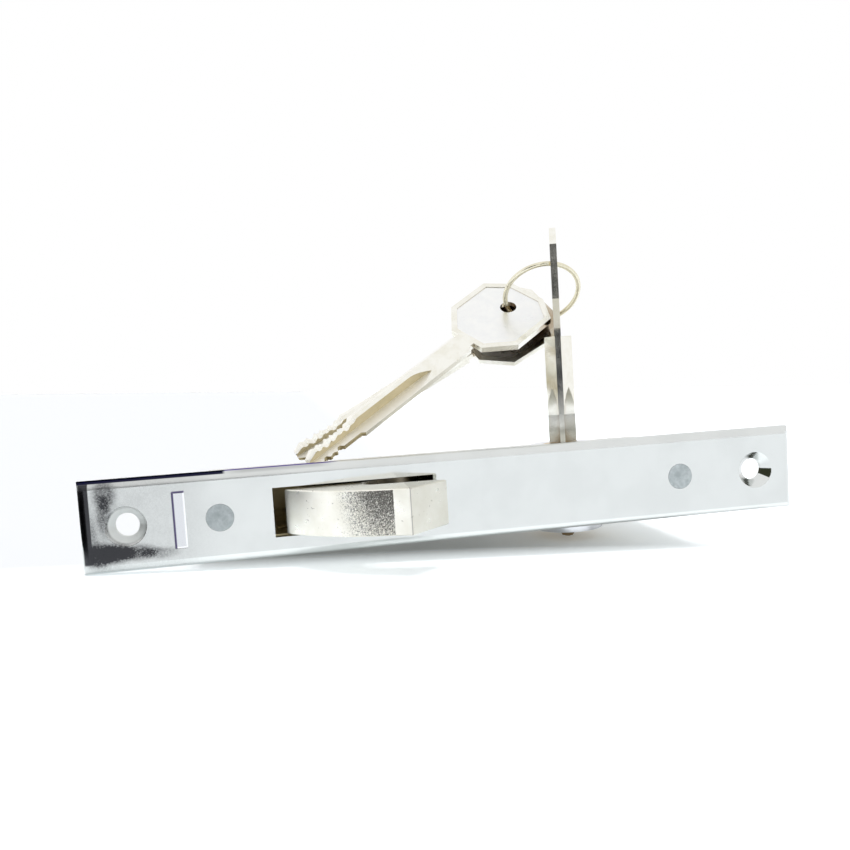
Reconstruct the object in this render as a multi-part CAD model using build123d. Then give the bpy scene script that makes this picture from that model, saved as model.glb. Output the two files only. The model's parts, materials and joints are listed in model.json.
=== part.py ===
from build123d import *
import os
from math import acos, cos, pi, radians, sin, sqrt, tan

# Sliding door lock with a claw hook bolt, a cross key in its cylinder and two more keys on a ring.
# Millimetres. The origin is the centre of the faceplate's back face, which seats on the door's edge.
# X runs along the faceplate, -Y out of its front face, +Z along the key from its tip to its bow.

# Faceplate
plate_length = 181.0
plate_height = 22.0
plate_thickness = 3.0
plate_edge_r = 2.0
screw_inset = 10.5
screw_hole_r = 2.8
screw_sink_r = 4.75
sink_rim_r = 0.3
rivet_inset = 6.9
rivet_head_r = 3.25
rivet_shank_r = 2.0
rivet_head_depth = 1.25
rivet_tail_r = 3.0
rivet_tail_length = 1.2
slot_left = -46.0
slot_right = -6.8
slot_height = 12.0
stamp_left = -69.2
stamp_width = 2.8
stamp_height = 13.5
stamp_middle = 0.25
stamp_line = 0.3
stamp_depth = 0.25

# Case
case_length = 131.0
rear_gap = 1.82
case_thickness = 14.0
case_wall = 1.2
case_corner_r = 1.5
cover_edge = 0.6
window_margin = 0.6
pillar_r = 3.0
pillar_inset_x = 4.5
pillar_front_inset = 7.0
pillar_back_inset = 4.6
cover_screw_r = 1.25
cover_screw_head_r = 2.5
cover_screw_length = 9.0
driver_slot_width = 0.6
driver_slot_depth = 0.5

# Hook bolt, seen along Z
hook_thickness = 10.8
pivot_x = -17.0
pivot_y = 9.0
pivot_pin_r = 3.0
pivot_rivet_r = 2.0
washer_r = 6.2
washer_thickness = 0.3
hub_r = 8.2
boss_r = 4.95
boss_flat = 4.3
boss_height = 3.9
claw_inner_r = 13.5
claw_root = (-43.1, -3.0)
claw_front = (-30.2, -13.6)
claw_facet = (-18.8, -17.5)
claw_nose = (-15.0, -19.3)
claw_tip = (-4.8, -9.8)
claw_heel = (-7.8, -8.5)
claw_throat = (-24.6, -7.1)
throat_r = 3.0
claw_edge = 0.25
neck_angle = 204.0
neck_width_angle = 32.0
neck_flare = 40.0
neck_lap = 0.5
nose_r = 0.8

# Gearing: the key's pinion drives the rack and the rack drives the gear on the hook's hub
module = 1.2
hook_teeth = 12
pinion_teeth = 14
pressure_angle = 20.0
gear_addendum_ratio = 0.9
gear_dedendum_ratio = 0.95
rack_addendum_ratio = 0.65
rack_dedendum_ratio = 1.15
tooth_backlash = 0.12
gear_thickness = 3.6
flank_steps = 4
key_turn_angle = 90.0

# Rack
rack_thickness = 3.8
rack_back = 3.4
rack_overrun = 2.6
web_width = 8.0
web_x = 0.0
guide_lip = 1.0
guide_width = 2.8
guide_length = 8.0
guide_gap = 2.0
stop_pin_r = 1.5
stop_gap = 0.3
spring_strip = 0.5
spring_height = 3.0
spring_span = 24.0

# Cylinder
key_from_case_end = 29.6
key_y = 22.0
key_phase = 19.2
plug_r = 5.2
plug_shoulder_r = 5.6
plug_top = 8.5
plug_proud = 0.3
housing_r = 9.3
flange_length = 33.0
flange_width = 21.0
flange_thickness = 1.4
flange_screw_offset = 13.2
flange_screw_r = 1.5
flange_screw_head_r = 2.6
sleeve_thickness = 0.6
collar_flange_r = 11.5
collar_flange = 1.1
pinion_pin_r = 0.6
pinion_pin_grip = 1.0
pin_rows = 4
pins_per_row = 3
pin_r = 0.95
pin_tip_r = 0.45
driver_length = 1.9
spring_wire = 0.25

# Keys, measured from the shoulder where the bow meets the shank
key_flats = 7.6
key_shank_length = 57.1
key_tip_z = -18.1
arm_thickness = 1.4
edge_flat = 1.6
groove_start = 14.3
groove_wheel_r = 15.0
bit_length = 15.9
bit_r = 3.0
bit_step = 0.4
tip_r = 1.5
tip_taper = 2.4
tip_show = 2.4
cut_floor = 0.7
cut_flank = 50.0
cut_pitch = 2.3
cut_first = 3.9
cut_depths = (0.5, 1.1, 0.7, 1.3, 0.9, 0.4, 1.0)
cuts_on_arms = (5, 5, 3, 4)
bow_thickness = 1.8
bow_start = 2.2
bow_slant_start = 5.8
bow_half_width = 13.0
bow_side_start = 9.7
bow_side_end = 24.2
bow_end = 29.6
bow_rim = 1.7
bow_recess = 0.2
key_hole_height = 20.5
key_hole_r = 2.4
tang_half_width = 2.8
tang_length = 5.0

# Key ring and the two keys that hang from it with their tips on the case
ring_r = 10.8
ring_wire_r = 0.7
ring_split = 0.25
ring_split_angle = -60.0
ring_lean = (0.038, 0.712, 0.701)
hang_a = (-10.6, 12.2, -11.1)
axis_a = (0.799, 0.342, 0.4955)
bow_across_a = (-0.572, 0.653, 0.496)
ring_step_b = 28.0
axis_b = (0.885, 0.048, 0.462)
bow_across_b = (-0.385, 0.632, 0.672)

# Clearances
running = 0.05
fit = 0.05
side_play = 0.3
keyway_play = 0.15
floor_play = 0.2
pin_float = 0.12

# Derived sizes
screw_spacing = plate_length - 2 * screw_inset
rivet_spacing = case_length - 2 * rivet_inset
key_x = case_length / 2 - key_from_case_end
half_case = case_thickness / 2
inner_half = half_case - case_wall
half_hook = hook_thickness / 2
hook_pitch_r = module * hook_teeth / 2
pinion_pitch_r = module * pinion_teeth / 2
rack_travel = pinion_pitch_r * radians(key_turn_angle)
rack_bottom = -inner_half + floor_play
rack_top = rack_bottom + rack_thickness
gear_bottom = -half_hook
gear_top = gear_bottom + gear_thickness
web_bottom = gear_bottom + boss_height
housing_top = -inner_half - running
collar_bottom = gear_top + side_play
gear_addendum = gear_addendum_ratio * module
gear_dedendum = gear_dedendum_ratio * module
rack_addendum = rack_addendum_ratio * module
rack_dedendum = rack_dedendum_ratio * module
hook_rack_y = pivot_y + hook_pitch_r
plug_rack_y = key_y + pinion_pitch_r
front_rack_back = hook_rack_y + rack_dedendum + rack_back
rear_rack_back = plug_rack_y + rack_dedendum + rack_back
rack_pitch = pi * module
case_depth = rear_rack_back + guide_width + rear_gap + case_wall
key_shoulder_z = key_tip_z + key_shank_length
plug_bottom = key_tip_z + tip_show
housing_bottom = plug_bottom + plug_proud
key_place = Plane(
    origin=(key_x, key_y, key_shoulder_z),
    x_dir=(-sin(radians(key_phase)), -cos(radians(key_phase)), 0),
    z_dir=(0, 0, 1),
)


def slab(outline, bottom, top):
    """A flat outline in XY raised from one height to another."""
    return extrude(Pos(0, 0, bottom) * outline, amount=top - bottom)


def disc(x, y, radius, bottom, top):
    return slab(Pos(x, y) * Circle(radius), bottom, top)


def block(x0, x1, y0, y1, z0, z1):
    return Pos((x0 + x1) / 2, (y0 + y1) / 2, (z0 + z1) / 2) * Box(x1 - x0, y1 - y0, z1 - z0)


def turned(profile, x, y):
    """A body turned about the line parallel to Z through x, y, from (radius, height) points."""
    face = Plane.XZ * make_face(Polyline(*profile, close=True))
    return Pos(x, y, 0) * revolve(face, axis=Axis.Z)


def across(x, z, radius, y0, y1, end_radius=None):
    """A round or tapered bar along Y, at the given x and z."""
    far = radius if end_radius is None else end_radius
    cone = Cone(radius, far, y1 - y0) if far != radius else Cylinder(radius, y1 - y0)
    return Pos(x, (y0 + y1) / 2, z) * Rot(-90, 0, 0) * cone


def faceplate():
    front = -plate_thickness
    body = Pos(0, front / 2, 0) * Box(plate_length, plate_thickness, plate_height)
    body = fillet(body.faces().sort_by(Axis.Y)[0].edges(), plate_edge_r)
    for side in (-1, 1):
        x = side * screw_spacing / 2
        body -= across(x, 0, screw_hole_r, front, 0)
        body -= across(x, 0, screw_sink_r, front, front + screw_sink_r - screw_hole_r, screw_hole_r)
        rim = body.edges().filter_by(GeomType.CIRCLE).sort_by_distance((x, front, screw_sink_r))[0]
        body = fillet(rim, sink_rim_r)
        x = side * rivet_spacing / 2
        body -= across(x, 0, rivet_shank_r + fit, front, 0)
        body -= across(x, 0, rivet_head_r + fit, front, front + rivet_head_depth, rivet_shank_r + fit)
    body -= block(slot_left, slot_right, front, 0, -slot_height / 2, slot_height / 2)
    return body - stamp_outline()


def stamp_outline():
    """The bare upright frame pressed into the plate's face."""
    x = stamp_left + stamp_width / 2
    y = -plate_thickness + stamp_depth / 2
    outer = Pos(x, y, stamp_middle) * Box(stamp_width, stamp_depth, stamp_height)
    inner = Pos(x, y, stamp_middle) * Box(
        stamp_width - 2 * stamp_line, stamp_depth, stamp_height - 2 * stamp_line
    )
    return outer - inner


def faceplate_rivets():
    front = -plate_thickness
    rivets = []
    for side in (-1, 1):
        x = side * rivet_spacing / 2
        rivet = across(x, 0, rivet_shank_r, front, case_wall)
        rivet += across(x, 0, rivet_head_r, front, front + rivet_head_depth, rivet_shank_r)
        tail_end = case_wall + rivet_tail_length
        rivet += across(x, 0, rivet_tail_r, case_wall, tail_end, rivet_shank_r)
        rivets.append(rivet)
    return rivets


def case_footprint():
    middle = Pos(0, case_depth / 2)
    return middle * RectangleRounded(case_length, case_depth, case_corner_r)


def pillar_places():
    x = case_length / 2 - pillar_inset_x
    depths = (pillar_front_inset, case_depth - pillar_back_inset)
    return [(side * x, y) for side in (-1, 1) for y in depths]


def case_body():
    inner = Pos(0, case_depth / 2) * Rectangle(case_length - 2 * case_wall, case_depth - 2 * case_wall)
    body = slab(case_footprint(), -half_case, inner_half)
    body -= slab(inner, -inner_half, inner_half)
    window = (slot_left - window_margin, slot_right + window_margin)
    body -= block(*window, 0, case_wall, -inner_half, inner_half)
    for side in (-1, 1):
        body -= across(side * rivet_spacing / 2, 0, rivet_shank_r + fit, 0, case_wall)
    body -= disc(pivot_x, pivot_y, pivot_rivet_r + fit, -half_case, -inner_half)
    body -= disc(key_x, key_y, housing_r + fit, -half_case, -inner_half)
    for x in flange_screw_places():
        body -= disc(x, key_y, flange_screw_r + fit, -half_case, -inner_half)
    return body


def case_cover():
    cover = slab(case_footprint(), inner_half, half_case)
    cover = chamfer(cover.faces().sort_by(Axis.Z)[-1].edges(), cover_edge)
    cover -= disc(pivot_x, pivot_y, pivot_rivet_r + fit, inner_half, half_case)
    cover -= disc(key_x, key_y, housing_r + fit, inner_half, half_case)
    for x, y in pillar_places():
        sink = [
            (0, inner_half),
            (cover_screw_r + fit, inner_half),
            (cover_screw_head_r + fit, half_case),
            (0, half_case),
        ]
        cover -= turned(sink, x, y)
    return cover


def cover_screws():
    screws = []
    for x, y in pillar_places():
        end = half_case - cover_screw_length
        profile = [
            (0, end),
            (cover_screw_r, end),
            (cover_screw_r, inner_half),
            (cover_screw_head_r, half_case),
            (0, half_case),
        ]
        screws.append(turned(profile, x, y) - driver_slot(x, y, cover_screw_head_r, half_case))
    return screws


def driver_slot(x, y, half, top):
    """The screwdriver slot across a flat screw head."""
    width = driver_slot_width / 2
    return block(x - half, x + half, y - width, y + width, top - driver_slot_depth, top)


def case_pillars():
    return [
        disc(x, y, pillar_r, -inner_half, inner_half)
        - disc(x, y, cover_screw_r + fit, -inner_half, inner_half)
        for x, y in pillar_places()
    ]


def about_pivot(radius, angle):
    return (pivot_x + radius * cos(radians(angle)), pivot_y + radius * sin(radians(angle)))


def claw_outline():
    """The part of the hook outside the neck radius: root, curved front, facet, end face, beak and throat."""
    neck_left = about_pivot(claw_inner_r - neck_lap, neck_angle)
    neck_right = about_pivot(claw_inner_r - neck_lap, neck_angle + neck_width_angle)
    front = ThreePointArc(claw_root, claw_front, claw_facet)
    rest = Polyline(claw_facet, claw_nose, claw_tip, claw_heel, claw_throat, neck_right, neck_left, claw_root)
    return make_face([front] + rest.edges())


def hook_bolt():
    face = fillet(claw_outline().vertices().sort_by_distance(claw_throat)[0], throat_r)
    face = fillet(face.vertices().sort_by_distance(claw_nose)[0], nose_r)
    claw = slab(face, -half_hook, half_hook)
    claw = chamfer(claw_rim(claw), claw_edge)
    claw -= disc(pivot_x, pivot_y, claw_inner_r, -half_hook, web_bottom)
    neck = make_face(
        Polyline(
            about_pivot(claw_inner_r + neck_lap, neck_angle),
            about_pivot(claw_inner_r + neck_lap, neck_angle + neck_width_angle),
            about_pivot(hub_r / 2, neck_angle + neck_width_angle + neck_flare),
            about_pivot(hub_r / 2, neck_angle - neck_flare),
            close=True,
        )
    )
    hook = claw + slab(neck, web_bottom, half_hook)
    hook += disc(pivot_x, pivot_y, hub_r, web_bottom, half_hook)
    hook += slab(boss_face(0), -half_hook, web_bottom)
    return hook - disc(pivot_x, pivot_y, pivot_pin_r + running, -half_hook, half_hook)


def claw_rim(claw):
    """The claw's outer edges in front of the faceplate, on both of its broad faces."""
    ends = claw.faces().sort_by(Axis.Z)
    edges = ends[0].edges() + ends[-1].edges()
    return [edge for edge in edges if edge.center().Y < -plate_thickness]


def boss_face(gap):
    """The flatted boss that carries the hook's gear, or the gear's matching bore."""
    flats = Pos(pivot_x, pivot_y) * Rectangle(4 * boss_r, 2 * (boss_flat + gap))
    return (Pos(pivot_x, pivot_y) * Circle(boss_r + gap)) & flats


def involute(angle):
    return tan(angle) - angle


def gear_face(teeth, x, y):
    """A spur gear with one tooth pointing to +Y."""
    pitch_r = module * teeth / 2
    base_r = pitch_r * cos(radians(pressure_angle))
    outer_r = pitch_r + gear_addendum
    root_r = pitch_r - gear_dedendum
    half_tooth = pi / (2 * teeth) - tooth_backlash / (2 * pitch_r) + involute(radians(pressure_angle))
    flank = [(root_r, half_tooth)]
    for step in range(flank_steps + 1):
        radius = base_r + (outer_r - base_r) * step / flank_steps
        flank.append((radius, half_tooth - involute(acos(min(1.0, base_r / radius)))))
    points = []
    for tooth in range(teeth):
        middle = pi / 2 + 2 * pi * tooth / teeth
        points += [(r, middle - a) for r, a in flank]
        points += [(r, middle + a) for r, a in reversed(flank)]
    corners = [(x + r * cos(a), y + r * sin(a)) for r, a in points]
    return make_face(Polyline(*corners, close=True))


def hook_gear():
    face = gear_face(hook_teeth, pivot_x, pivot_y) - boss_face(fit)
    return slab(face, gear_bottom, gear_top)


def hook_pivot_pin():
    profile = [
        (0, -half_case),
        (pivot_rivet_r, -half_case),
        (pivot_rivet_r, -inner_half),
        (pivot_pin_r, -inner_half),
        (pivot_pin_r, inner_half),
        (pivot_rivet_r, inner_half),
        (pivot_rivet_r, half_case),
        (0, half_case),
    ]
    return turned(profile, pivot_x, pivot_y)


def pivot_washers():
    washer = Pos(pivot_x, pivot_y) * (Circle(washer_r) - Circle(pivot_pin_r + running))
    return [
        slab(washer, -inner_half, -inner_half + washer_thickness),
        slab(washer, inner_half - washer_thickness, inner_half),
    ]


def rack_teeth(contact_x, pitch_y):
    """Rack teeth pointing to -Y over the stretch that passes the contact point, with their backing bar."""
    tip_y = pitch_y - rack_addendum
    root_y = pitch_y + rack_dedendum
    slope = tan(radians(pressure_angle))
    half_pitch_width = rack_pitch / 4 - tooth_backlash / 2
    half_tip = half_pitch_width - rack_addendum * slope
    half_root = half_pitch_width + rack_dedendum * slope
    right = contact_x + rack_overrun
    left = contact_x - rack_travel - rack_overrun
    back_y = root_y + rack_back
    outline = [(left, back_y), (left, root_y)]
    middle = contact_x - rack_pitch / 2
    centres = []
    while middle - half_root > left:
        centres.append(middle)
        middle -= rack_pitch
    for centre in reversed(centres):
        outline += [(centre - half_root, root_y), (centre - half_tip, tip_y)]
        outline += [(centre + half_tip, tip_y), (centre + half_root, root_y)]
    outline += [(right, root_y), (right, back_y)]
    return make_face(Polyline(*outline, close=True))


def drive_rack():
    """One flat bar stepped between the hook's gear and the key's pinion."""
    web_left = web_x - web_width / 2
    web_right = web_x + web_width / 2
    front_root = hook_rack_y + rack_dedendum
    rear_root = plug_rack_y + rack_dedendum
    bar = slab(rack_teeth(pivot_x, hook_rack_y), rack_bottom, rack_top)
    bar += slab(rack_teeth(key_x, plug_rack_y), rack_bottom, rack_top)
    bar += block(pivot_x, web_right, front_root, front_rack_back, rack_bottom, rack_top)
    bar += block(web_left, web_right, front_root, rear_rack_back, rack_bottom, rack_top)
    bar += block(web_left, key_x - rack_travel, rear_root, rear_rack_back, rack_bottom, rack_top)
    return bar


def rack_guides():
    """Three pads riveted to the floor behind the rack, each with a lip over the rack's back edge."""
    web_left = web_x - web_width / 2
    before_spring = key_x - spring_span / 2 - guide_gap
    past_spring = key_x + spring_span / 2 + guide_gap
    pads = [
        (pivot_x + guide_gap, web_left - guide_gap, front_rack_back),
        (before_spring - guide_length, before_spring, rear_rack_back),
        (past_spring, past_spring + guide_length, rear_rack_back),
    ]
    guides = []
    for x0, x1, edge in pads:
        far = edge + guide_width
        pad = block(x0, x1, edge + running, far, -inner_half, rack_top + floor_play)
        pad += block(x0, x1, edge - guide_lip, far, rack_top + floor_play, rack_top + floor_play + guide_lip)
        guides.append(pad)
    return guides


def rack_stops():
    """Pins on the floor that the rack's web meets at the two ends of its travel."""
    half_web = web_width / 2
    middle_y = (front_rack_back + plug_rack_y) / 2
    reach = half_web + stop_gap + stop_pin_r
    places = (web_x - reach, web_x + rack_travel + reach)
    return [disc(x, middle_y, stop_pin_r, -inner_half, rack_top) for x in places]


def rack_spring():
    """A bowed strip between the rear wall and the rack's back edge, which holds the bolt where it is put."""
    wall = case_depth - case_wall
    near = rear_rack_back + side_play
    left = key_x - spring_span / 2
    right = key_x + spring_span / 2
    front = ThreePointArc((left, wall - spring_strip), (key_x, near), (right, wall - spring_strip))
    back = ThreePointArc((right, wall), (key_x, near + spring_strip), (left, wall))
    right_end = Line((right, wall - spring_strip), (right, wall))
    left_end = Line((left, wall), (left, wall - spring_strip))
    bottom = rack_bottom + floor_play
    return slab(make_face([front, back, right_end, left_end]), bottom, bottom + spring_height)


def plug_radius_place(angle, radius, height):
    """A place on a radius of the plug, with its own Z pointing outwards."""
    turn = radians(angle)
    out = (cos(turn), sin(turn), 0)
    origin = (key_x + radius * out[0], key_y + radius * out[1], height)
    return Plane(origin=origin, z_dir=out)


def pin_places(radius):
    first_row = -90 - key_phase
    rows = [first_row + 360 * row / pin_rows for row in range(pin_rows)]
    levels = [key_tip_z + cut_first + cut_pitch * level for level in range(pins_per_row)]
    return [plug_radius_place(row, radius, level) for row in rows for level in levels]


def radial_bars(start, length, radius, tip=None):
    """One round bar in every pin hole, from a radius outwards, with a pointed inner end if a tip is given."""
    bars = []
    for place in pin_places(start):
        if tip is None:
            bars.append(place * Cylinder(radius, length, align=(Align.CENTER, Align.CENTER, Align.MIN)))
        else:
            nose = radius - tip
            body = Cylinder(radius, length - nose, align=(Align.CENTER, Align.CENTER, Align.MIN))
            cone = Cone(tip, radius, nose, align=(Align.CENTER, Align.CENTER, Align.MIN))
            bars.append(place * (Pos(0, 0, nose) * body + cone))
    return bars


def cylinder_housing():
    body = disc(key_x, key_y, housing_r, housing_bottom, housing_top)
    flange = Pos(key_x, key_y) * SlotOverall(flange_length, flange_width)
    flange_bottom = -half_case - flange_thickness
    body += slab(flange, flange_bottom, -half_case)
    body -= disc(key_x, key_y, plug_r + running, housing_bottom, housing_top)
    for x in flange_screw_places():
        body -= turned(flange_screw_profile(fit, -half_case), x, key_y)
    for bar in radial_bars(plug_r, housing_r - plug_r, pin_r + fit):
        body -= bar
    return body


def flange_screw_places():
    return (key_x - flange_screw_offset, key_x + flange_screw_offset)


def flange_screw_profile(gap, end):
    head = -half_case - flange_thickness
    neck = head + flange_screw_head_r - flange_screw_r
    return [
        (0, head),
        (flange_screw_head_r + gap, head),
        (flange_screw_r + gap, neck),
        (flange_screw_r + gap, end),
        (0, end),
    ]


def housing_screws():
    end = -inner_half + case_wall / 2
    head = -half_case - flange_thickness
    screws = []
    for x in flange_screw_places():
        screw = turned(flange_screw_profile(0, end), x, key_y)
        screws.append(screw - driver_slot(x, key_y, flange_screw_head_r, head + driver_slot_depth))
    return screws


def housing_sleeve():
    top = -half_case - flange_thickness
    outer = disc(key_x, key_y, housing_r + sleeve_thickness, housing_bottom, top)
    return outer - disc(key_x, key_y, housing_r, housing_bottom, top)


def cylinder_collar():
    flange_top = inner_half - running
    profile = [
        (plug_shoulder_r + running, collar_bottom),
        (housing_r, collar_bottom),
        (housing_r, flange_top - collar_flange),
        (collar_flange_r, flange_top - collar_flange),
        (collar_flange_r, flange_top),
        (housing_r, flange_top),
        (housing_r, plug_top),
        (plug_shoulder_r + running, plug_top),
    ]
    return turned(profile, key_x, key_y)


def keyway(radius, bottom, top):
    """The cross-shaped hole for the key's four arms."""
    width = arm_thickness + 2 * keyway_play
    cross = Rectangle(2 * radius, width) + Rectangle(width, 2 * radius)
    placed = Pos(key_x, key_y) * Rot(0, 0, -90 - key_phase) * cross
    return slab(placed, bottom, top)


def plug():
    pinion_top = gear_top
    profile = [
        (0, plug_bottom),
        (plug_r, plug_bottom),
        (plug_r, pinion_top),
        (plug_shoulder_r, pinion_top),
        (plug_shoulder_r, plug_top),
        (0, plug_top),
    ]
    body = turned(profile, key_x, key_y)
    step_z = key_shoulder_z - key_shank_length + bit_length
    body -= keyway(bit_r + keyway_play, plug_bottom, step_z)
    body -= keyway(key_flats / 2 + keyway_play, step_z - bit_step - keyway_play, plug_top)
    for bar in radial_bars(bit_r, plug_r - bit_r, pin_r + fit):
        body -= bar
    return body - pinion_pin_hole()


def pinion_pin_bar(radius, start, end):
    """A bar at the pinion's mid height, on a radius that runs between two of its teeth."""
    tooth_gap = 90 + 360 / pinion_teeth * (pinion_teeth // 4 + 1 / 2)
    place = plug_radius_place(tooth_gap, start, (gear_bottom + gear_top) / 2)
    return place * Cylinder(radius, end - start, align=(Align.CENTER, Align.CENTER, Align.MIN))


def pinion_pin():
    """The cross pin that locks the pinion to the plug."""
    root_r = pinion_pitch_r - gear_dedendum
    return pinion_pin_bar(pinion_pin_r, plug_r - pinion_pin_grip, root_r - running)


def pinion_pin_hole():
    return pinion_pin_bar(pinion_pin_r + fit, plug_r - pinion_pin_grip - fit, pinion_pitch_r)


def plug_pinion():
    face = gear_face(pinion_teeth, key_x, key_y) - Pos(key_x, key_y) * Circle(plug_r + fit)
    return slab(face, gear_bottom, gear_top) - pinion_pin_hole()


def key_pins():
    start = bit_r + pin_float
    return radial_bars(start, plug_r - start - running, pin_r, pin_tip_r)


def driver_pins():
    return radial_bars(plug_r + 2 * running, driver_length, pin_r)


def pin_springs():
    start = plug_r + 3 * running + driver_length
    length = housing_r - start - running
    outer = radial_bars(start, length, pin_r)
    inner = radial_bars(start, length, pin_r - spring_wire)
    return [a - b for a, b in zip(outer, inner)]


def groove_wheel():
    """A wheel with a right-angled rim, whose cut leaves the arms beside it and runs out in a curve."""
    corner = arm_thickness / 2
    reach = groove_wheel_r + corner * sqrt(2)
    depth = (key_flats + edge_flat) / 2 / sqrt(2) - corner * sqrt(2)
    run_out = sqrt(2 * groove_wheel_r * depth - depth**2)
    height = -(groove_start + run_out)
    centre = (reach / sqrt(2), reach / sqrt(2), height)
    half = key_flats
    wheel = None
    for side in (-1, 1):
        plane = Plane(origin=centre, z_dir=(side, -side, 0))
        cone = Cone(
            groove_wheel_r, groove_wheel_r - half, half, align=(Align.CENTER, Align.CENTER, Align.MIN)
        )
        wheel = plane * cone if wheel is None else wheel + plane * cone
    channel = block(corner, key_flats, corner, key_flats, -key_shank_length, height)
    return wheel + channel


def key_envelope():
    """The turned outline of the shank: a full bar, the step to the bits and the tapered tip."""
    end = -key_shank_length
    step = end + bit_length
    profile = [
        (0, end),
        (tip_r, end),
        (bit_r, end + tip_taper),
        (bit_r, step - bit_step),
        (key_flats, step + key_flats - bit_r),
        (key_flats, 0),
        (0, 0),
    ]
    return turned(profile, 0, 0)


def key_bar():
    """A square bar set on edge, with its four edges cut to flats at the arms."""
    far, near = key_flats / 2, edge_flat / 2
    side = [(far, -near), (far, near), (near, far), (-near, far)]
    outline = Polyline(*side, *[(-x, -y) for x, y in side], close=True)
    return extrude(make_face(outline), amount=-key_shank_length)


def key_shank():
    """The shank at its own origin, with the bow's side at +Z and its arms along X and Y."""
    shank = key_bar() & key_envelope()
    wheel = groove_wheel()
    for quarter in range(4):
        shank -= Rot(0, 0, 90 * quarter) * wheel
    for arm, cuts in enumerate(cuts_on_arms):
        for cut in range(cuts):
            shank -= Rot(0, 0, 90 * arm) * bit_cut(arm, cut)
    slot = block(
        -tang_half_width - fit,
        tang_half_width + fit,
        -bow_thickness / 2 - fit,
        bow_thickness / 2 + fit,
        -tang_length - fit,
        0,
    )
    return shank - slot


def bit_cut(arm, cut):
    """One notch in the edge of an arm, with a short flat floor between two sloping flanks."""
    depth = cut_depths[(2 * arm + cut) % len(cut_depths)]
    floor_x = bit_r - depth
    mouth_x = key_flats / 2
    height = -key_shank_length + cut_first + cut * cut_pitch
    rise = (mouth_x - floor_x) / tan(radians(cut_flank))
    notch = Polyline(
        (floor_x, height - cut_floor / 2),
        (floor_x, height + cut_floor / 2),
        (mouth_x, height + cut_floor / 2 + rise),
        (mouth_x, height - cut_floor / 2 - rise),
        close=True,
    )
    return extrude(Plane.XZ * make_face(notch), amount=arm_thickness, both=True)


def key_bow():
    """The eight-sided flat bow at the key's own origin, with its tang in the shank's slot."""
    half = [
        (tang_half_width, -tang_length),
        (tang_half_width, bow_start),
        (bow_slant_start, bow_start),
        (bow_half_width, bow_side_start),
        (bow_half_width, bow_side_end),
        (bow_slant_start, bow_end),
    ]
    mirrored = [(-x, z) for x, z in reversed(half)]
    outline = make_face(Polyline(*half, *mirrored, close=True))
    panel = make_face(Polyline(*half[2:], *mirrored[:-2], close=True))
    bow = extrude(Plane.XZ * outline, amount=bow_thickness / 2, both=True)
    recess = Plane.XZ * offset(panel, -bow_rim)
    for side in (-1, 1):
        depth = bow_thickness / 2 - bow_recess / 2
        bow -= Pos(0, side * depth, 0) * extrude(recess, amount=bow_recess / 2, both=True)
    hole = Pos(0, 0, key_hole_height) * Rot(90, 0, 0) * Cylinder(key_hole_r, 2 * bow_thickness)
    return bow - hole


def unit(vector):
    return Vector(*vector).normalized()


def hung_key(hole, axis, across_bow):
    """Where a key's shoulder lies when its ring hole is at a point and its shank along a direction."""
    along = unit(axis)
    return Plane(origin=hole - along * key_hole_height, x_dir=unit(across_bow), z_dir=along)


def lock_key_hole():
    return Vector(key_x, key_y, key_shoulder_z + key_hole_height)


def first_hanging_hole():
    return lock_key_hole() + Vector(*hang_a)


def ring_frame():
    """The ring's circle through the holes of the key in the lock and of the first hanging key."""
    first = lock_key_hole()
    chord = first_hanging_hole() - first
    lean = unit(ring_lean)
    normal = (lean - chord.normalized() * lean.dot(chord.normalized())).normalized()
    inward = chord.cross(normal).normalized()
    half_chord = chord.length / 2
    centre = first + chord * 0.5 + inward * sqrt(ring_r**2 - half_chord**2)
    radial = (first_hanging_hole() - centre).normalized()
    return Plane(origin=centre, x_dir=radial, z_dir=normal)


def ring_point(angle):
    frame = ring_frame()
    turn = radians(angle)
    return frame.origin + frame.x_dir * (ring_r * cos(turn)) + frame.y_dir * (ring_r * sin(turn))


def key_ring():
    ring = Torus(ring_r, ring_wire_r)
    split = block(0, 2 * ring_r, -ring_split / 2, ring_split / 2, -ring_r, ring_r)
    split = Rot(0, 0, ring_split_angle) * split
    return ring_frame() * (ring - split)


def make_parts():
    place_a = hung_key(first_hanging_hole(), axis_a, bow_across_a)
    place_b = hung_key(ring_point(-ring_step_b), axis_b, bow_across_b)
    shank = key_shank()
    bow = key_bow()
    return {
        "faceplate": faceplate(),
        "faceplate_rivets": faceplate_rivets(),
        "case_body": case_body(),
        "case_cover": case_cover(),
        "cover_screws": cover_screws(),
        "case_pillars": case_pillars(),
        "hook_bolt": hook_bolt(),
        "hook_gear": hook_gear(),
        "hook_pivot_pin": hook_pivot_pin(),
        "pivot_washers": pivot_washers(),
        "drive_rack": drive_rack(),
        "rack_guides": rack_guides(),
        "rack_stops": rack_stops(),
        "rack_spring": rack_spring(),
        "cylinder_housing": cylinder_housing(),
        "housing_screws": housing_screws(),
        "housing_sleeve": housing_sleeve(),
        "cylinder_collar": cylinder_collar(),
        "plug": plug(),
        "plug_pinion": plug_pinion(),
        "pinion_pin": pinion_pin(),
        "key_pins": key_pins(),
        "driver_pins": driver_pins(),
        "pin_springs": pin_springs(),
        "key_shank": key_place * shank,
        "key_bow": key_place * bow,
        "key_ring": key_ring(),
        "loose_key_a_shank": place_a * shank,
        "loose_key_a_bow": place_a * bow,
        "loose_key_b_shank": place_b * shank,
        "loose_key_b_bow": place_b * bow,
    }


def write_parts():
    os.makedirs("parts", exist_ok=True)
    for name, shape in make_parts().items():
        solid = Compound(children=shape) if isinstance(shape, list) else shape
        export_step(solid, f"parts/{name}.step")


write_parts()
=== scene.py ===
import json
from math import atan, radians

import bmesh
import bpy
from mathutils import Matrix, Vector


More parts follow.
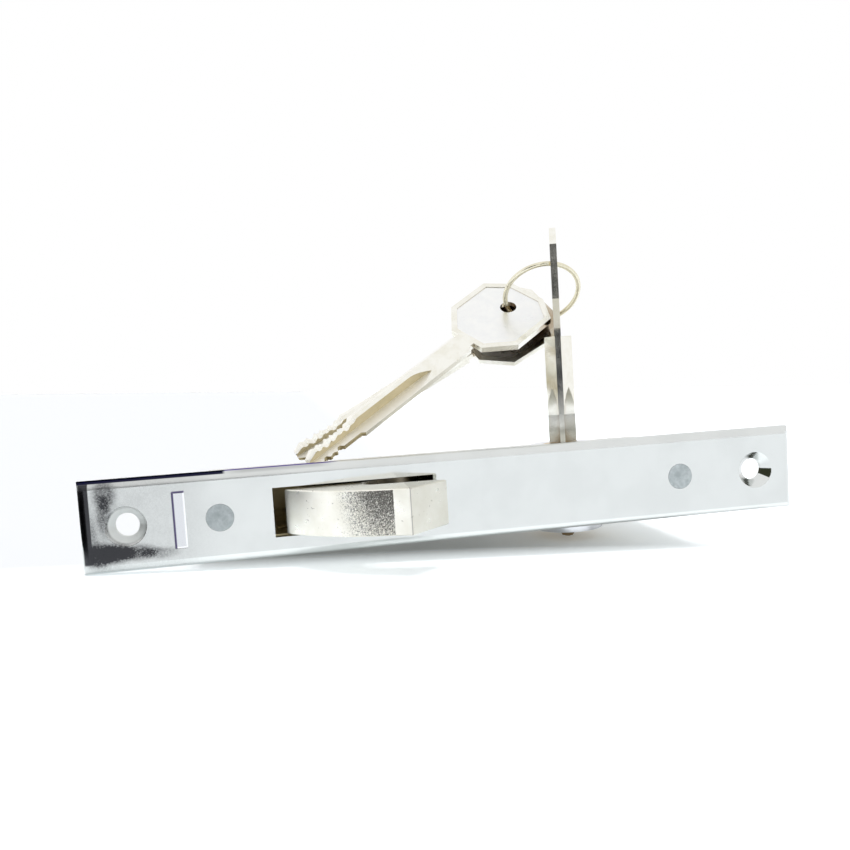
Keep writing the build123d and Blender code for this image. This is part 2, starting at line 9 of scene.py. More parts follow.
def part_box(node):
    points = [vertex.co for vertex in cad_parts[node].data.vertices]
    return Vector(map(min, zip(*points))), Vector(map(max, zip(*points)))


# Sliding door lock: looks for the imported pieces, a white table and the photograph's camera.
# Blender works in metres, and mm turns millimetres into metres.
# Numbers for sizes and places are in millimetres, unless a comment says metres.

mm = 0.001
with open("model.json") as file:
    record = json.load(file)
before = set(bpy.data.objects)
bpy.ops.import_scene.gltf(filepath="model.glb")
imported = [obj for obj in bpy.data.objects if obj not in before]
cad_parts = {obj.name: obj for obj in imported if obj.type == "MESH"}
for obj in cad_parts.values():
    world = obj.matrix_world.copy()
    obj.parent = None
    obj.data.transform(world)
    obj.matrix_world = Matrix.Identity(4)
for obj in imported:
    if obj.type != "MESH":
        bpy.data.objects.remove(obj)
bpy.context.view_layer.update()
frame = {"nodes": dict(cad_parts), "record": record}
nodes = frame["nodes"]

white = (1.0, 1.0, 1.0)

# The photograph's camera, in the part's own frame: the focal length is in pixels, the sight in metres
photo_size = 850
photo_focal = 792.0
sensor_width = 36.0
camera_place = Vector((-39.6, -194.9, 31.4)) * mm
camera_forward = Vector((0.1622, 0.9845, -0.0669))
camera_up = Vector((0.0732, 0.0556, 0.9958))
sight = (0.01, 20)

# Corners of some pieces' boxes, in metres, and the thickness of the case's sheet
plate_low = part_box("faceplate")[0]
rivets_low, rivets_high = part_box("faceplate_rivets")
shank_low, shank_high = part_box("key_shank")
case_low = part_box("case_body")[0]
case_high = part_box("case_cover")[1]
case_wall = 1.2

# The table, in metres: the lock lies on the plate's lower left corner and on the key's tip
key_x = (shank_low.x + shank_high.x) / 2
table_slope = (shank_low.z - plate_low.z) / (key_x - plate_low.x)
table_half = 3.0

# The table's finish, of which the dark cards share the roughness, and the colour of its glow
table_white = (0.85, 0.865, 0.885)
card_rough = 0.9
table_specular = 0.1
table_glow = (0.93, 1.0, 1.02)

# Painted light for the eye, which lightens the lock's shadow on the table: how strongly the table glows along
# x from left to right, and along y up to the front
painted_light_x = (-5, 100)
painted_light_left = 0.015
painted_light_right = 0.58
painted_light_y = (13, -1)
painted_light_front = 0.48

# How strongly it glows for mirrors: everywhere, and, as a painted pool of light, more strongly in a band close
# in front of the plate
table_glow_mirrored = 0.14
painted_light_pool = 0.45
light_pool_y = (-14, 0)
light_pool_soft = 6

# A wide sun, overhead and a little in front; its angles are in degrees
sun_power = 2.0
sun_spread = 30
sun_tilt = 4

# The surroundings' strength for diffuse light, and the dark patch that mirrors see in them:
# its direction, the cosines between which it comes in, and its colour
sky_in_diffuse = 0.5
photographer_way = (-0.539, -0.830, 0.139)
photographer_rim = (0.945, 0.966)
photographer_dark = (0.05, 0.05, 0.045)

# Dark cards by their corners: one left of the plate and one on the table behind the camera
dark_cards = {
    "side_card": ((-103.5, -25, -18), (-131, 50, -18), (-131, 50, 8), (-103.5, -25, 8)),
    "back_card": ((-182, -324, -22), (-30, -377, -22), (-30, -377, 84), (-182, -324, 84)),
}
card_dark = (0.018, 0.018, 0.022)
card_thickness = 0.6

# Between which values of a noise its clouds come in
even_clouds = (0.3, 0.7)
sparse_clouds = (0.35, 0.7)
loose_clouds = (0.35, 0.75)


# Node helpers

def new_material(name):
    material = bpy.data.materials.new(name)
    material.use_nodes = True
    tree = material.node_tree
    return material, tree, tree.nodes["Principled BSDF"]


def object_coords(tree):
    return tree.nodes.new("ShaderNodeTexCoord").outputs["Object"]


def new_metal(name):
    """A bare metal, with its node tree, its shader and its object coordinates."""
    material, tree, shader = new_material(name)
    shader.inputs["Metallic"].default_value = 1.0
    return material, tree, shader, object_coords(tree)


def coat(tree, shader, colour, rough):
    """Gives a metal its colour and its roughness."""
    tree.links.new(colour, shader.inputs["Base Color"])
    tree.links.new(rough, shader.inputs["Roughness"])


def mapped(tree, source, scale, place=(0, 0, 0)):
    node = tree.nodes.new("ShaderNodeMapping")
    node.inputs["Location"].default_value = place
    node.inputs["Scale"].default_value = scale
    tree.links.new(source, node.inputs["Vector"])
    return node.outputs["Vector"]


def noise(tree, source, size, detail=3.0, rough=0.5, warp=0.0):
    """Noise whose lumps are about the given size across."""
    node = tree.nodes.new("ShaderNodeTexNoise")
    node.inputs["Scale"].default_value = 1 / (size * mm)
    node.inputs["Detail"].default_value = detail
    node.inputs["Roughness"].default_value = rough
    node.inputs["Distortion"].default_value = warp
    tree.links.new(source, node.inputs["Vector"])
    return node.outputs["Fac"]


def remap(tree, source, low, high, out_low=0.0, out_high=1.0, smooth=True):
    node = tree.nodes.new("ShaderNodeMapRange")
    node.interpolation_type = "SMOOTHSTEP" if smooth else "LINEAR"
    node.inputs["From Min"].default_value = low
    node.inputs["From Max"].default_value = high
    node.inputs["To Min"].default_value = out_low
    node.inputs["To Max"].default_value = out_high
    tree.links.new(source, node.inputs["Value"])
    return node.outputs["Result"]


def ramp(tree, along, start_and_end, out_low=0.0, out_high=1.0, smooth=True):
    """Goes from one number to another between two places along an axis."""
    start, end = start_and_end
    return remap(tree, along, start * mm, end * mm, out_low, out_high, smooth)


def maths(tree, operation, first, second):
    node = tree.nodes.new("ShaderNodeMath")
    node.operation = operation
    for socket, value in zip(node.inputs, (first, second)):
        if isinstance(value, (int, float)):
            socket.default_value = value
        else:
            tree.links.new(value, socket)
    return node.outputs["Value"]


def product(tree, result, *factors):
    for factor in factors:
        result = maths(tree, "MULTIPLY", result, factor)
    return result


def mix_colours(tree, factor, first, second):
    node = tree.nodes.new("ShaderNodeMix")
    node.data_type = "RGBA"
    tree.links.new(factor, node.inputs["Factor"])
    for socket, value in zip((node.inputs[6], node.inputs[7]), (first, second)):
        if isinstance(value, tuple):
            socket.default_value = (*value, 1.0)
        else:
            tree.links.new(value, socket)
    return node.outputs[2]


def clouded(tree, cloud, thin, thick):
    """Goes from one number to another as a noise thickens."""
    return remap(tree, cloud, *even_clouds, thin, thick)


def stained(tree, cloud, colour, stain, clouds):
    """A colour that clouds over to its stain."""
    return mix_colours(tree, remap(tree, cloud, *clouds), colour, stain)


def axis_of(tree, source, axis):
    node = tree.nodes.new("ShaderNodeSeparateXYZ")
    tree.links.new(source, node.inputs["Vector"])
    return node.outputs["XYZ".index(axis)]


def span_mask(tree, source, axis, span, soft):
    """1 between two places along an axis, with soft ends."""
    along = axis_of(tree, source, axis)
    low, high = span
    rise = ramp(tree, along, (low - soft, low + soft))
    fall = ramp(tree, along, (high - soft, high + soft), 1.0, 0.0)
    return product(tree, rise, fall)


def oblong_mask(tree, source, x_span, z_span, x_soft, z_soft):
    """1 inside an oblong in the XZ plane, with soft edges."""
    across = span_mask(tree, source, "X", x_span, x_soft)
    return product(tree, across, span_mask(tree, source, "Z", z_span, z_soft))


def blot_mask(tree, source, middle, half, core=0.3):
    """1 in the middle of a soft oval in the XZ plane, 0 outside it; core is the part of it that stays 1."""
    (x, z), (half_x, half_z) = middle, half
    scale = (1 / (half_x * mm), 0.0, 1 / (half_z * mm))
    centred = mapped(tree, source, scale, (-x / half_x, 0.0, -z / half_z))
    node = tree.nodes.new("ShaderNodeVectorMath")
    node.operation = "LENGTH"
    tree.links.new(centred, node.inputs[0])
    return remap(tree, node.outputs["Value"], core, 1.0, 1.0, 0.0)


def bump(tree, shader, height, depth, under=None):
    node = tree.nodes.new("ShaderNodeBump")
    node.inputs["Strength"].default_value = 1.0
    node.inputs["Distance"].default_value = depth * mm
    tree.links.new(height, node.inputs["Height"])
    if under is not None:
        tree.links.new(under, node.inputs["Normal"])
    tree.links.new(node.outputs["Normal"], shader.inputs["Normal"])
    return node.outputs["Normal"]


# Plain metals: colour, stain, roughness, the grain's size and its depth
plain_metals = {
    "screw_zinc": ((0.62, 0.62, 0.60), (0.5, 0.5, 0.48), 0.30, 0.3, 0.004),
    "gear_steel": ((0.42, 0.41, 0.39), (0.30, 0.29, 0.27), 0.36, 0.3, 0.004),
    "turned_brass": ((0.72, 0.55, 0.27), (0.6, 0.43, 0.2), 0.28, 0.2, 0.002),
    "collar_chrome": ((0.76, 0.77, 0.80), (0.7, 0.71, 0.74), 0.12, 0.3, 0.001),
    "ring_nickel": ((0.86, 0.82, 0.66), (0.72, 0.67, 0.50), 0.2, 0.3, 0.001),
    # Painted shade and painted light for the keys' grooves: a darker brass for faces that look down, a paler
    # nickel for grooves that look up
    "groove_painted_shade": ((0.62, 0.54, 0.36), (0.56, 0.49, 0.31), 0.20, 0.25, 0.002),
    "groove_painted_light": ((1.0, 0.985, 0.93), (0.96, 0.94, 0.87), 0.52, 0.25, 0.002),
}

# How much finer than its size a grain is along x, y and z, where turning on a lathe has drawn it out
turned = (1, 1, 12)


def plain_metal(name, finer=(1, 1, 1)):
    """A metal with a faint stain, uneven roughness and a fine grain."""
    colour, stain, rough, grain_size, grain_depth = plain_metals[name]
    material, tree, shader, place = new_metal(name)
    cloud = noise(tree, place, size=6, detail=4.0, rough=0.6)
    grain = noise(tree, mapped(tree, place, finer), grain_size, detail=3.0, rough=0.6)
    uneven = maths(tree, "ADD", clouded(tree, cloud, thin=-0.05, thick=0.06), rough)
    uneven = maths(tree, "ADD", uneven, clouded(tree, grain, thin=-0.03, thick=0.03))
    coat(tree, shader, stained(tree, cloud, colour, stain, loose_clouds), uneven)
    bump(tree, shader, grain, grain_depth)
    return material


# The faceplate: where along y its face begins, and where all but its back's rim does
face_y = (-2.2, -2.6)
off_back_y = (-0.1, -0.3)

# Its chrome, which is duller on the rounding along the upper edge
chrome = (0.735, 0.755, 0.745)
chrome_stain = (0.705, 0.725, 0.715)
chrome_rough = (0.05, 0.10)
rounding_z = (8.85, 9.1)
rounding_rough = 0.24

# Its screw holes: the sinks' half width, and how much rougher the left and the right one are
screw_x = 80.0
sink_half = 4.7
sink_core = 0.9
sinks_rough = ((-screw_x, 0.42), (screw_x, 0.10))

# Painted reflections, as smoky dark patches on its face: x, z, half width, half height and darkness
reflection_blots = (
    (-86.6, -6.4, 5.2, 3.9, 0.90),
    (-82.6, -6.3, 5.0, 3.0, 0.85),
    (-77.8, -6.4, 6.0, 2.5, 0.70),
    (-72.6, -7.0, 5.6, 1.9, 0.38),
    (-88.0, -2.5, 2.2, 7.5, 0.30),
    (-84.2, 7.8, 3.6, 4.8, 0.55),
    (-84.6, 2.4, 2.4, 6.0, 0.42),
    (-84.5, -1.0, 6.5, 13.0, 0.16),
    (-82.0, 0.0, 30.0, 30.0, 0.20),
)
painted_reflection_dark = (0.03, 0.03, 0.035)
reflection_rough = 0.15
reflection_most = 0.97

# What makes them ragged: the values between which lumps and a grain come in, and what they multiply by
lump_levels = (0.1, 0.5)
grain_levels = (0.2, 0.7)
reflection_ragged = (0.60, 1.12)

# A painted reflection, the dark band along its left end: x and z from and to, the softness along each, and the
# darkness
end_reflection_band = ((-95, -87.75), (-8.7, 11.5), 0.15, 0.4)
end_reflection_darkness = 0.96

# The stamped frame, and from and to where its painted highlight and shade lines run beside its sides
stamp_x = (-69.2, -66.4)
stamp_z = (-6.5, 7.0)
highlight_right = (-0.35, 0.1)
highlight_foot = (-0.1, 0.45)
shade_left = (-0.15, 0.35)
shade_top = (-0.35, 0.15)
stamp_floor = (0.70, 0.71, 0.735)
stamp_painted_highlight = (0.97, 0.97, 0.99)
stamp_painted_shade = (0.05, 0.03, 0.12)
stamp_shade_strength = 0.9

# How soft the frame's floor, its painted highlight and shade lines, and the shade lines' ends are
floor_soft = 0.05
highlight_soft = 0.1
shade_soft = 0.12
end_soft = 0.2

# Painted reflections, as lines along the upper left edge: x from and to, softness, z where one starts and is
# full, strength, colour
painted_edge_reflections = (
    ((-55.0, -33.0), 3.0, (9.9, 10.6), 0.35, (0.20, 0.20, 0.20)),
    ((-59.0, -31.0), 2.0, (10.85, 10.95), 0.95, (0.17, 0.12, 0.40)),
    ((-92.0, -57.0), 0.5, (10.25, 10.40), 0.98, (0.010, 0.010, 0.035)),
)

# The dark wedge in the right sink, a painted reflection: it starts right of the hole, and its lower side
# slopes down to the right
wedge_start = (2.2, 2.4)
wedge_slope = 0.62
wedge_half = 4.75
wedge_core = 0.97
wedge_soft = 0.1
wedge_reflection_dark = (0.03, 0.035, 0.02)


def painted_reflection_mask(tree, place, grain):
    """The painted reflections: a smudge round the left screw hole, and a dark band along the plate's left end.
    """
    painted_reflections = 0.0
    for x, z, half_width, half_height, darkness in reflection_blots:
        blot = blot_mask(tree, place, (x, z), (half_width, half_height))
        painted_reflections = maths(tree, "ADD", painted_reflections, product(tree, blot, darkness))
    lumps = remap(tree, noise(tree, place, size=2.2), *lump_levels)
    ragged = product(tree, remap(tree, grain, *grain_levels), lumps)
    painted_reflections = product(tree, painted_reflections, remap(tree, ragged, 0.0, 1.0, *reflection_ragged, smooth=False))
    end_reflection = product(tree, oblong_mask(tree, place, *end_reflection_band), end_reflection_darkness)
    return maths(tree, "MINIMUM", maths(tree, "MAXIMUM", painted_reflections, end_reflection), reflection_most)


def beside(side, line):
    return side + line[0], side + line[1]


def with_stamp(tree, place, face, colour):
    """Adds the stamped frame: its floor, painted highlight lines right and at the foot, painted shade lines
    left and at the top.
    """
    left, right = stamp_x
    foot, top = stamp_z
    floor = product(tree, oblong_mask(tree, place, stamp_x, stamp_z, floor_soft, floor_soft), face)
    colour = mix_colours(tree, floor, colour, stamp_floor)
    # Painted highlight along the frame's right side and its foot
    right_line = span_mask(tree, place, "X", beside(right, highlight_right), highlight_soft)
    foot_line = span_mask(tree, place, "Z", beside(foot, highlight_foot), highlight_soft)
    light = product(tree, maths(tree, "MAXIMUM", right_line, foot_line), floor)
    colour = mix_colours(tree, light, colour, stamp_painted_highlight)
    # Painted shade along the frame's left side and its top
    left_line = oblong_mask(tree, place, beside(left, shade_left), stamp_z, shade_soft, end_soft)
    top_line = oblong_mask(tree, place, stamp_x, beside(top, shade_top), end_soft, shade_soft)
    dark = product(tree, maths(tree, "MAXIMUM", left_line, top_line), face, stamp_shade_strength)
    return mix_colours(tree, dark, colour, stamp_painted_shade)


def with_painted_edge_reflections(tree, place, off_back, colour):
    """Adds the painted reflections along the upper left edge, also to the tint that a metal takes at grazing
    angles.
    """
    height = axis_of(tree, place, "Z")
    grazing = white
    for x_span, soft, z_span, strength, tint in painted_edge_reflections:
        rise = ramp(tree, height, z_span, 0.0, strength)
        line = product(tree, span_mask(tree, place, "X", x_span, soft), off_back, rise)
        colour = mix_colours(tree, line, colour, tint)
        grazing = mix_colours(tree, line, grazing, tint)
    return colour, grazing


def reflection_wedge_mask(tree, place, off_back):
    """The dark wedge in the right sink, a painted reflection, which lies under the hole's middle and over a
    slope.
    """
    height = axis_of(tree, place, "Z")
    across = maths(tree, "SUBTRACT", axis_of(tree, place, "X"), screw_x * mm)
    over_slope = maths(tree, "ADD", height, product(tree, across, wedge_slope))
    above = ramp(tree, over_slope, (-wedge_soft, wedge_soft))
    below = ramp(tree, height, (wedge_soft, -wedge_soft))
    sink = blot_mask(tree, place, (screw_x, 0), (wedge_half, wedge_half), wedge_core)
    sink = product(tree, sink, off_back)
    return product(tree, above, below, ramp(tree, across, wedge_start), sink)


def plate_chrome():
    """Mirror chrome, slightly wavy, with painted reflections (the smudge, the edge's lines and the wedge) and
    the stamped frame with painted highlight and shade lines.
    """
    material, tree, shader, place = new_metal("plate_chrome")
    cloud = noise(tree, place, size=9, detail=3.0, rough=0.55)
    grain = noise(tree, place, size=0.35, detail=2.0, rough=0.7)
    depth = axis_of(tree, place, "Y")
    face = ramp(tree, depth, face_y)
    off_back = ramp(tree, depth, off_back_y)
    # Painted reflection of dark surroundings: the smudge round the left hole and the band along the left end
    painted_reflections = product(tree, painted_reflection_mask(tree, place, grain), face)
    colour = stained(tree, cloud, chrome, chrome_stain, sparse_clouds)
    colour = mix_colours(tree, painted_reflections, colour, painted_reflection_dark)
    colour = with_stamp(tree, place, face, colour)
    colour, grazing = with_painted_edge_reflections(tree, place, off_back, colour)
    # Painted reflection: the dark wedge in the right sink
    colour = mix_colours(tree, reflection_wedge_mask(tree, place, off_back), colour, wedge_reflection_dark)
    rough = maths(tree, "ADD", clouded(tree, cloud, *chrome_rough), product(tree, painted_reflections, reflection_rough))
    rounding = ramp(tree, axis_of(tree, place, "Z"), rounding_z, 0.0, rounding_rough)
    rough = maths(tree, "ADD", rough, rounding)
    for x, extra_rough in sinks_rough:
        sink = blot_mask(tree, place, (x, 0), (sink_half, sink_half), sink_core)
        rough = maths(tree, "ADD", rough, product(tree, sink, extra_rough))
    coat(tree, shader, colour, rough)
    # The painted reflections along the upper edge also darken the metal's tint at grazing angles
    tree.links.new(grazing, shader.inputs["Specular Tint"])
    waves = bump(tree, shader, noise(tree, place, size=34, detail=1.0), depth=0.12)
    bump(tree, shader, grain, depth=0.0006, under=waves)
    return material


# The hook's casting: its colours, and the brown painted shade on what stands inside the case
ivory = (1.0, 0.985, 0.91)
ivory_stain = (0.93, 0.91, 0.82)
speck_levels = (0.245, 0.285)
speck_darkness = 0.55
speck_dark = (0.25, 0.23, 0.19)
inside_shade_y = (-3.5, -0.5)
inside_shade_darkness = 0.9
inside_shade_brown = (0.16, 0.13, 0.085)

# Its coarse area, darkened by the painted reflection in its pits: x where it starts and ends, y where it
# starts, z from and to, and its growth upward
coarse_start_x = (-34.0, -20.5)
coarse_end_x = (-18.75, -18.65)
coarse_y = (-11.5, -12.5)
coarse_z = (-5.2, 5.15)
coarse_growth_z = (-5, 5)
coarse_growth = (0.60, 1.35)
coarse_soft = 0.08

# How much of the cast skin's relief is there everywhere, and how much more in the coarse area
smooth_relief = 0.2
coarse_relief = 0.8

# The pits in it, which take a painted dark reflection: how far it lowers the skin, the skin's levels between
# which they fill, how coarse it must be for them, their darkness and colour
coarse_sink = -0.225
pit_levels = (0.22, 0.50)
pit_coarse = (0.02, 0.35)
pit_reflection_darkness = 0.92
pit_painted_reflection = (0.05, 0.046, 0.042)

# Painted shade on the machined facet of its nose and along the edge beside it: x, y from where on, strength
# and colour
facet_x = (-15.1, -14.9)
facet_y = (-7, -9)
facet_strength = 0.45
facet_painted_shade = (0.45, 0.44, 0.38)
nose_x = (-15.1, -14.85)
nose_soft = 0.08
nose_y = (-17, -18)
nose_strength = 0.6
nose_painted_shade = (0.20, 0.17, 0.19)


def coarse_mask(tree, place, along, outward):
    """The coarse area of the casting, which reaches 1 and more where it's coarsest."""
    return product(
        tree,
        ramp(tree, along, coarse_start_x),
        ramp(tree, along, coarse_end_x, 1.0, 0.0),
        span_mask(tree, place, "Z", coarse_z, coarse_soft),
        ramp(tree, axis_of(tree, place, "Z"), coarse_growth_z, *coarse_growth, smooth=False),
        ramp(tree, outward, coarse_y),
    )


def cast_nickel():
    """Ivory nickel on a cast skin, coarse beside the machined facet of the hook's nose, with a painted dark
    reflection in its pits, painted shade on the facet, along the nose's edge and inside the case.
    """
    material, tree, shader, place = new_metal("cast_nickel")
    cloud = noise(tree, place, size=5, detail=4.0, rough=0.6)
    skin = noise(tree, place, size=0.30, detail=3.0, rough=0.75, warp=0.5)
    specks = noise(tree, place, size=0.8, detail=1.0, rough=0.5, warp=0.3)
    along = axis_of(tree, place, "X")
    outward = axis_of(tree, place, "Y")
    colour = stained(tree, cloud, ivory, ivory_stain, sparse_clouds)
    coarse = coarse_mask(tree, place, along, outward)
    level = maths(tree, "ADD", skin, product(tree, coarse, coarse_sink))
    # Painted reflection: the pits turn dark as if they mirrored dark surroundings, most where the skin is
    # coarsest
    pit_reflections = product(tree, remap(tree, level, *pit_levels, 1.0, 0.0), remap(tree, coarse, *pit_coarse))
    colour = mix_colours(tree, product(tree, pit_reflections, pit_reflection_darkness), colour, pit_painted_reflection)
    few = remap(tree, specks, *speck_levels, speck_darkness, 0.0)
    colour = mix_colours(tree, few, colour, speck_dark)
    # Painted shade on the nose's facet and along its edge
    facet = product(tree, ramp(tree, along, facet_x), ramp(tree, outward, facet_y), facet_strength)
    colour = mix_colours(tree, facet, colour, facet_painted_shade)
    nose = product(tree, span_mask(tree, place, "X", nose_x, nose_soft), ramp(tree, outward, nose_y))
    colour = mix_colours(tree, product(tree, nose, nose_strength), colour, nose_painted_shade)
    # Painted shade: brown on what stands inside the case
    colour = mix_colours(tree, ramp(tree, outward, inside_shade_y, 0.0, inside_shade_darkness), colour, inside_shade_brown)
    coat(tree, shader, colour, clouded(tree, cloud, thin=0.26, thick=0.36))
    relief = maths(tree, "ADD", product(tree, coarse, coarse_relief), smooth_relief)
    bump(tree, shader, product(tree, skin, relief), depth=0.10)
    return material


# The rivets' heads: their colours, and each one's darker spot by its place off the middle and half size
rivet_zinc = (0.52, 0.565, 0.575)
rivet_stain = (0.41, 0.455, 0.465)
spot_x, spot_z = -0.7, 0.5
spot_half = (1.3, 1.2)
spot_dark = (0.28, 0.32, 0.33)
spot_darkness = 0.45


def dull_zinc():
    """Grey zinc of the rivets' flush heads, blotchy, with a darker spot off the middle."""
    material, tree, shader, place = new_metal("dull_zinc")
    rivet_x = (rivets_high.x - (rivets_high.z - rivets_low.z) / 2) / mm
    cloud = noise(tree, place, size=1.5, detail=4.0, rough=0.65, warp=0.5)
    grain = noise(tree, place, size=0.25, detail=2.0, rough=0.6)
    colour = stained(tree, cloud, rivet_zinc, rivet_stain, even_clouds)
    for side in (-1, 1):
        spot = blot_mask(tree, place, (side * rivet_x + spot_x, spot_z), spot_half)
        colour = mix_colours(tree, product(tree, spot, spot_darkness), colour, spot_dark)
    coat(tree, shader, colour, clouded(tree, cloud, thin=0.42, thick=0.55))
    bump(tree, shader, grain, depth=0.02)
    return material


# The case's zinc, bare and with brown painted shade inside, each with its stain
bare_zinc = ((0.78, 0.77, 0.72), (0.69, 0.68, 0.63))
inside_shade_zinc = ((0.55, 0.46, 0.26), (0.48, 0.42, 0.27))
inside_shade_soft = 0.1


def case_zinc():
    """Zinc plate, bare and faintly clouded outside, brown with painted shade inside the case."""
    material, tree, shader, place = new_metal("case_zinc")
    cloud = noise(tree, place, size=9, detail=4.0, rough=0.6)
    grain = noise(tree, place, size=0.3, detail=3.0, rough=0.6)
    bare = stained(tree, cloud, *bare_zinc, loose_clouds)
    # Painted shade: brown on the case's inner faces
    shaded_inside = stained(tree, cloud, *inside_shade_zinc, loose_clouds)
    inside = 1.0
    for axis, low, high in zip("XYZ", case_low, case_high):
        # The painted shade covers the front wall, behind the slot, all through; the other walls up to their
        # middle
        start = -case_wall if axis == "Y" else case_wall / 2
        span = (low / mm + start, high / mm - case_wall / 2)
        inside = product(tree, inside, span_mask(tree, place, axis, span, inside_shade_soft))
    rough = clouded(tree, cloud, thin=0.25, thick=0.36)
    coat(tree, shader, mix_colours(tree, inside, bare, shaded_inside), rough)
    bump(tree, shader, grain, depth=0.003)
    return material


# Painted shade on the keys: how near a piece has to be to brown a key, and between which open shares of a
# place's sky the brown fades
shelter_reach = 7
shelter_open = (0.25, 0.65)
painted_shade_darkness = 0.85
painted_shade_brown = (0.30, 0.19, 0.07)
shelter_samples = 8

# How much rougher a key is where its clouds are thick
key_unevenness = 0.08


def key_nickel(name, bright, worn, rough):
    """Bright nickel of a key, faintly clouded, with brown painted shade where another key lies close over it.
    """
    material, tree, shader, place = new_metal(name)
    cloud = noise(tree, place, size=4, detail=4.0, rough=0.6)
    grain = noise(tree, place, size=0.25, detail=3.0, rough=0.6)
    # Painted shade: brown where nearby pieces hide the sky
    shelter = tree.nodes.new("ShaderNodeAmbientOcclusion")
    shelter.samples = shelter_samples
    shelter.inputs["Distance"].default_value = shelter_reach * mm
    painted_shade = remap(tree, shelter.outputs["AO"], *shelter_open, painted_shade_darkness, 0.0)
    metal = stained(tree, cloud, bright, worn, sparse_clouds)
    colour = mix_colours(tree, painted_shade, metal, painted_shade_brown)
    coat(tree, shader, colour, clouded(tree, cloud, thin=rough, thick=rough + key_unevenness))
    bump(tree, shader, grain, depth=0.002)
    return material


# Pieces and their finishes

finishes = {
    "faceplate_chrome": plate_chrome(),
    "nickel_casting": cast_nickel(),
    "zinc_rivets": dull_zinc(),
    "case_steel": case_zinc(),
    "screw_steel": plain_metal("screw_zinc"),
    "gear_steel": plain_metal("gear_steel"),
    "cylinder_brass": plain_metal("turned_brass", turned),
    "collar_chrome": plain_metal("collar_chrome"),
    "key_nickel": key_nickel(
        "key_nickel", bright=(0.93, 0.92, 0.86), worn=(0.87, 0.85, 0.76), rough=0.13
    ),
    "ring_nickel": plain_metal("ring_nickel"),
}
# Painted shade and painted light for the keys' groove faces, chosen by which way they look
groove_painted_shade = plain_metal("groove_painted_shade")
groove_painted_light = plain_metal("groove_painted_light")
bow_face = key_nickel("bow_face", bright=(0.90, 0.905, 0.90), worn=(0.95, 0.95, 0.93), rough=0.27)

for entry in frame["record"]["subparts"]:
    mesh = nodes[entry["node"]].data
    mesh.materials.clear()
    mesh.materials.append(finishes[entry["material_slot"]])

# Which way the loose keys' shanks run
shank_ways = {
    "loose_key_a_shank": (0.799, 0.342, 0.4955),
    "loose_key_b_shank": (0.885, 0.048, 0.462),
}

# How far from a shank's middle its grooves' flanks and its bevels lie at most
groove_reach = 2.6
bevel_reach = 3.4

# A face whose normal runs along the shank by more than this is an end; one whose normal rises or falls by less
# than this is upright
end_facing = 0.9
upright = 0.1

# Faces of a bow closer to parallel than this are flat; a sunk panel lies at least this deep
flat_facing = 0.999
panel_depth = 0.05


def face_finish(node):
    """Gives the sunk panels on both sides of a bow the duller face finish."""
    mesh = nodes[node].data
    mesh.materials.append(bow_face)
    sides = max(mesh.polygons, key=lambda face: face.area).normal.copy()
    flat = [face for face in mesh.polygons if abs(face.normal.dot(sides)) > flat_facing]
    levels = [face.center.dot(sides) for face in flat]
    middle = (min(levels) + max(levels)) / 2
    half = (max(levels) - min(levels)) / 2
    for face, level in zip(flat, levels):
        if abs(level - middle) < half - panel_depth * mm:
            face.material_index = 1


def groove_finish(node, way):
    """Paints shade with the darker brass where a shank's grooves and bevels look down, and painted light with
    the paler, duller nickel where grooves look up.
    """
    mesh = nodes[node].data
    mesh.materials.append(groove_painted_shade)
    mesh.materials.append(groove_painted_light)
    across = way.orthogonal().normalized()
    middle = Vector()
    for side in (across, way.cross(across)):
        reach = [vertex.co.dot(side) for vertex in mesh.vertices]
        middle += side * (min(reach) + max(reach)) / 2
    for face in mesh.polygons:
        if abs(face.normal.dot(way)) > end_facing:
            continue
        out = face.center - middle
        out -= way * out.dot(way)
        level = abs(face.normal.dot(out))
        if face.normal.z < -upright and level < bevel_reach * mm:
            face.material_index = 1
        elif face.normal.z > upright and level < groove_reach * mm:
            face.material_index = 2


for node in ("key_bow", "loose_key_a_bow", "loose_key_b_bow"):
    face_finish(node)
for node, way in shank_ways.items():
    groove_finish(node, Vector(way).normalized())


# Table, cards, white surroundings, light and camera

def put(name, data):
    """Adds an object to the scene."""
    piece = bpy.data.objects.new(name, data)
    bpy.context.scene.collection.objects.link(piece)
    return piece


def white_table():
    """White card that glows a little for the eye, as painted light in the lock's shadow, and, close in front
    of the plate, as a painted pool of light for its mirror.
    """
    material, tree, shader = new_material("white_table")
    shader.inputs["Base Color"].default_value = (*table_white, 1)
    shader.inputs["Roughness"].default_value = card_rough
    shader.inputs["Specular IOR Level"].default_value = table_specular
    shader.inputs["Emission Color"].default_value = (*table_glow, 1)
    path = tree.nodes.new("ShaderNodeLightPath")
    place = object_coords(tree)
    # Painted pool of light close in front of the plate, which only mirrors see
    near = span_mask(tree, place, "Y", light_pool_y, light_pool_soft)
    mirrored = remap(tree, near, 0, 1, table_glow_mirrored, painted_light_pool)
    mirrored = product(tree, mirrored, path.outputs["Is Glossy Ray"])
    # Painted light for the eye, which lightens the lock's shadow to the right and toward the front
    rightward = ramp(tree, axis_of(tree, place, "X"), painted_light_x, painted_light_left, painted_light_right)
    frontward = ramp(tree, axis_of(tree, place, "Y"), painted_light_y, 0, painted_light_front)
    seen = maths(tree, "MAXIMUM", rightward, frontward)
    seen = product(tree, path.outputs["Is Camera Ray"], seen)
    tree.links.new(maths(tree, "ADD", mirrored, seen), shader.inputs["Emission Strength"])
    return material


def table():
    mesh = bpy.data.meshes.new("table")
    form = bmesh.new()
    bmesh.ops.create_grid(form, x_segments=2, y_segments=2, size=table_half)
    slope = Matrix.Rotation(-atan(table_slope), 3, "Y")
    bmesh.ops.rotate(form, cent=(0, 0, 0), matrix=slope, verts=form.verts)
    level = Vector((0, 0, plate_low.z - table_slope * plate_low.x))
    bmesh.ops.translate(form, vec=level, verts=form.verts)
    form.to_mesh(mesh)
    form.free()
    piece = put("table", mesh)
    mesh.materials.append(white_table())


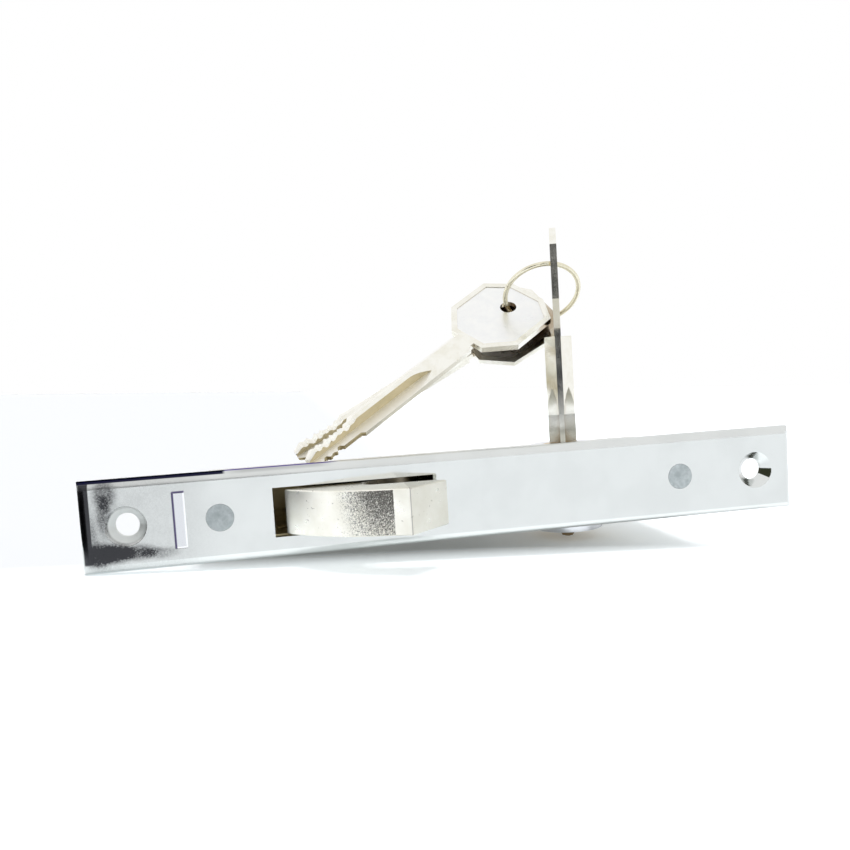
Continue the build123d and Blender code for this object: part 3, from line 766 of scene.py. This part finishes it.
def dark_card(name, corners):
    """A dark card outside the picture, which only mirrors see."""
    mesh = bpy.data.meshes.new(name)
    form = bmesh.new()
    form.faces.new([form.verts.new(Vector(corner) * mm) for corner in corners])
    bmesh.ops.solidify(form, geom=form.faces[:], thickness=card_thickness * mm)
    form.to_mesh(mesh)
    form.free()
    piece = put(name, mesh)
    material, _, shader = new_material(name)
    shader.inputs["Base Color"].default_value = (*card_dark, 1)
    shader.inputs["Roughness"].default_value = card_rough
    mesh.materials.append(material)
    piece.visible_camera = False
    piece.visible_diffuse = False
    piece.visible_shadow = False


def surroundings():
    """White all round for the eye; mirrors also see a dark photographer."""
    world = bpy.data.worlds.new("studio")
    world.use_nodes = True
    bpy.context.scene.world = world
    tree = world.node_tree
    background = tree.nodes["Background"]
    path = tree.nodes.new("ShaderNodeLightPath")
    way = tree.nodes.new("ShaderNodeTexCoord").outputs["Generated"]
    toward = tree.nodes.new("ShaderNodeVectorMath")
    toward.operation = "DOT_PRODUCT"
    toward.inputs[1].default_value = photographer_way
    tree.links.new(way, toward.inputs[0])
    photographer = remap(tree, toward.outputs["Value"], *photographer_rim)
    shade = mix_colours(tree, photographer, white, photographer_dark)
    colour = mix_colours(tree, path.outputs["Is Camera Ray"], shade, white)
    tree.links.new(colour, background.inputs["Color"])
    full = maths(tree, "MAXIMUM", path.outputs["Is Camera Ray"], path.outputs["Is Glossy Ray"])
    strength = remap(tree, full, 0.0, 1.0, sky_in_diffuse, 1.0, smooth=False)
    tree.links.new(strength, background.inputs["Strength"])


def overhead_sun():
    """The only lamp, which mirrors don't see."""
    lamp = bpy.data.lights.new("overhead", "SUN")
    lamp.energy = sun_power
    lamp.angle = radians(sun_spread)
    piece = put("overhead", lamp)
    piece.rotation_euler = (radians(sun_tilt), 0, 0)
    piece.visible_glossy = False


def camera():
    data = bpy.data.cameras.new("camera")
    data.sensor_width = sensor_width
    data.lens = photo_focal / photo_size * sensor_width
    data.clip_start, data.clip_end = sight
    piece = put("camera", data)
    back = -camera_forward.normalized()
    right = camera_up.cross(back).normalized()
    up = back.cross(right)
    turn = Matrix((right, up, back)).transposed()
    piece.matrix_world = Matrix.Translation(camera_place) @ turn.to_4x4()
    bpy.context.scene.camera = piece


camera()
table()
for name, corners in dark_cards.items():
    dark_card(name, corners)
surroundings()
overhead_sun()
bpy.context.scene.view_settings.view_transform = "Standard"
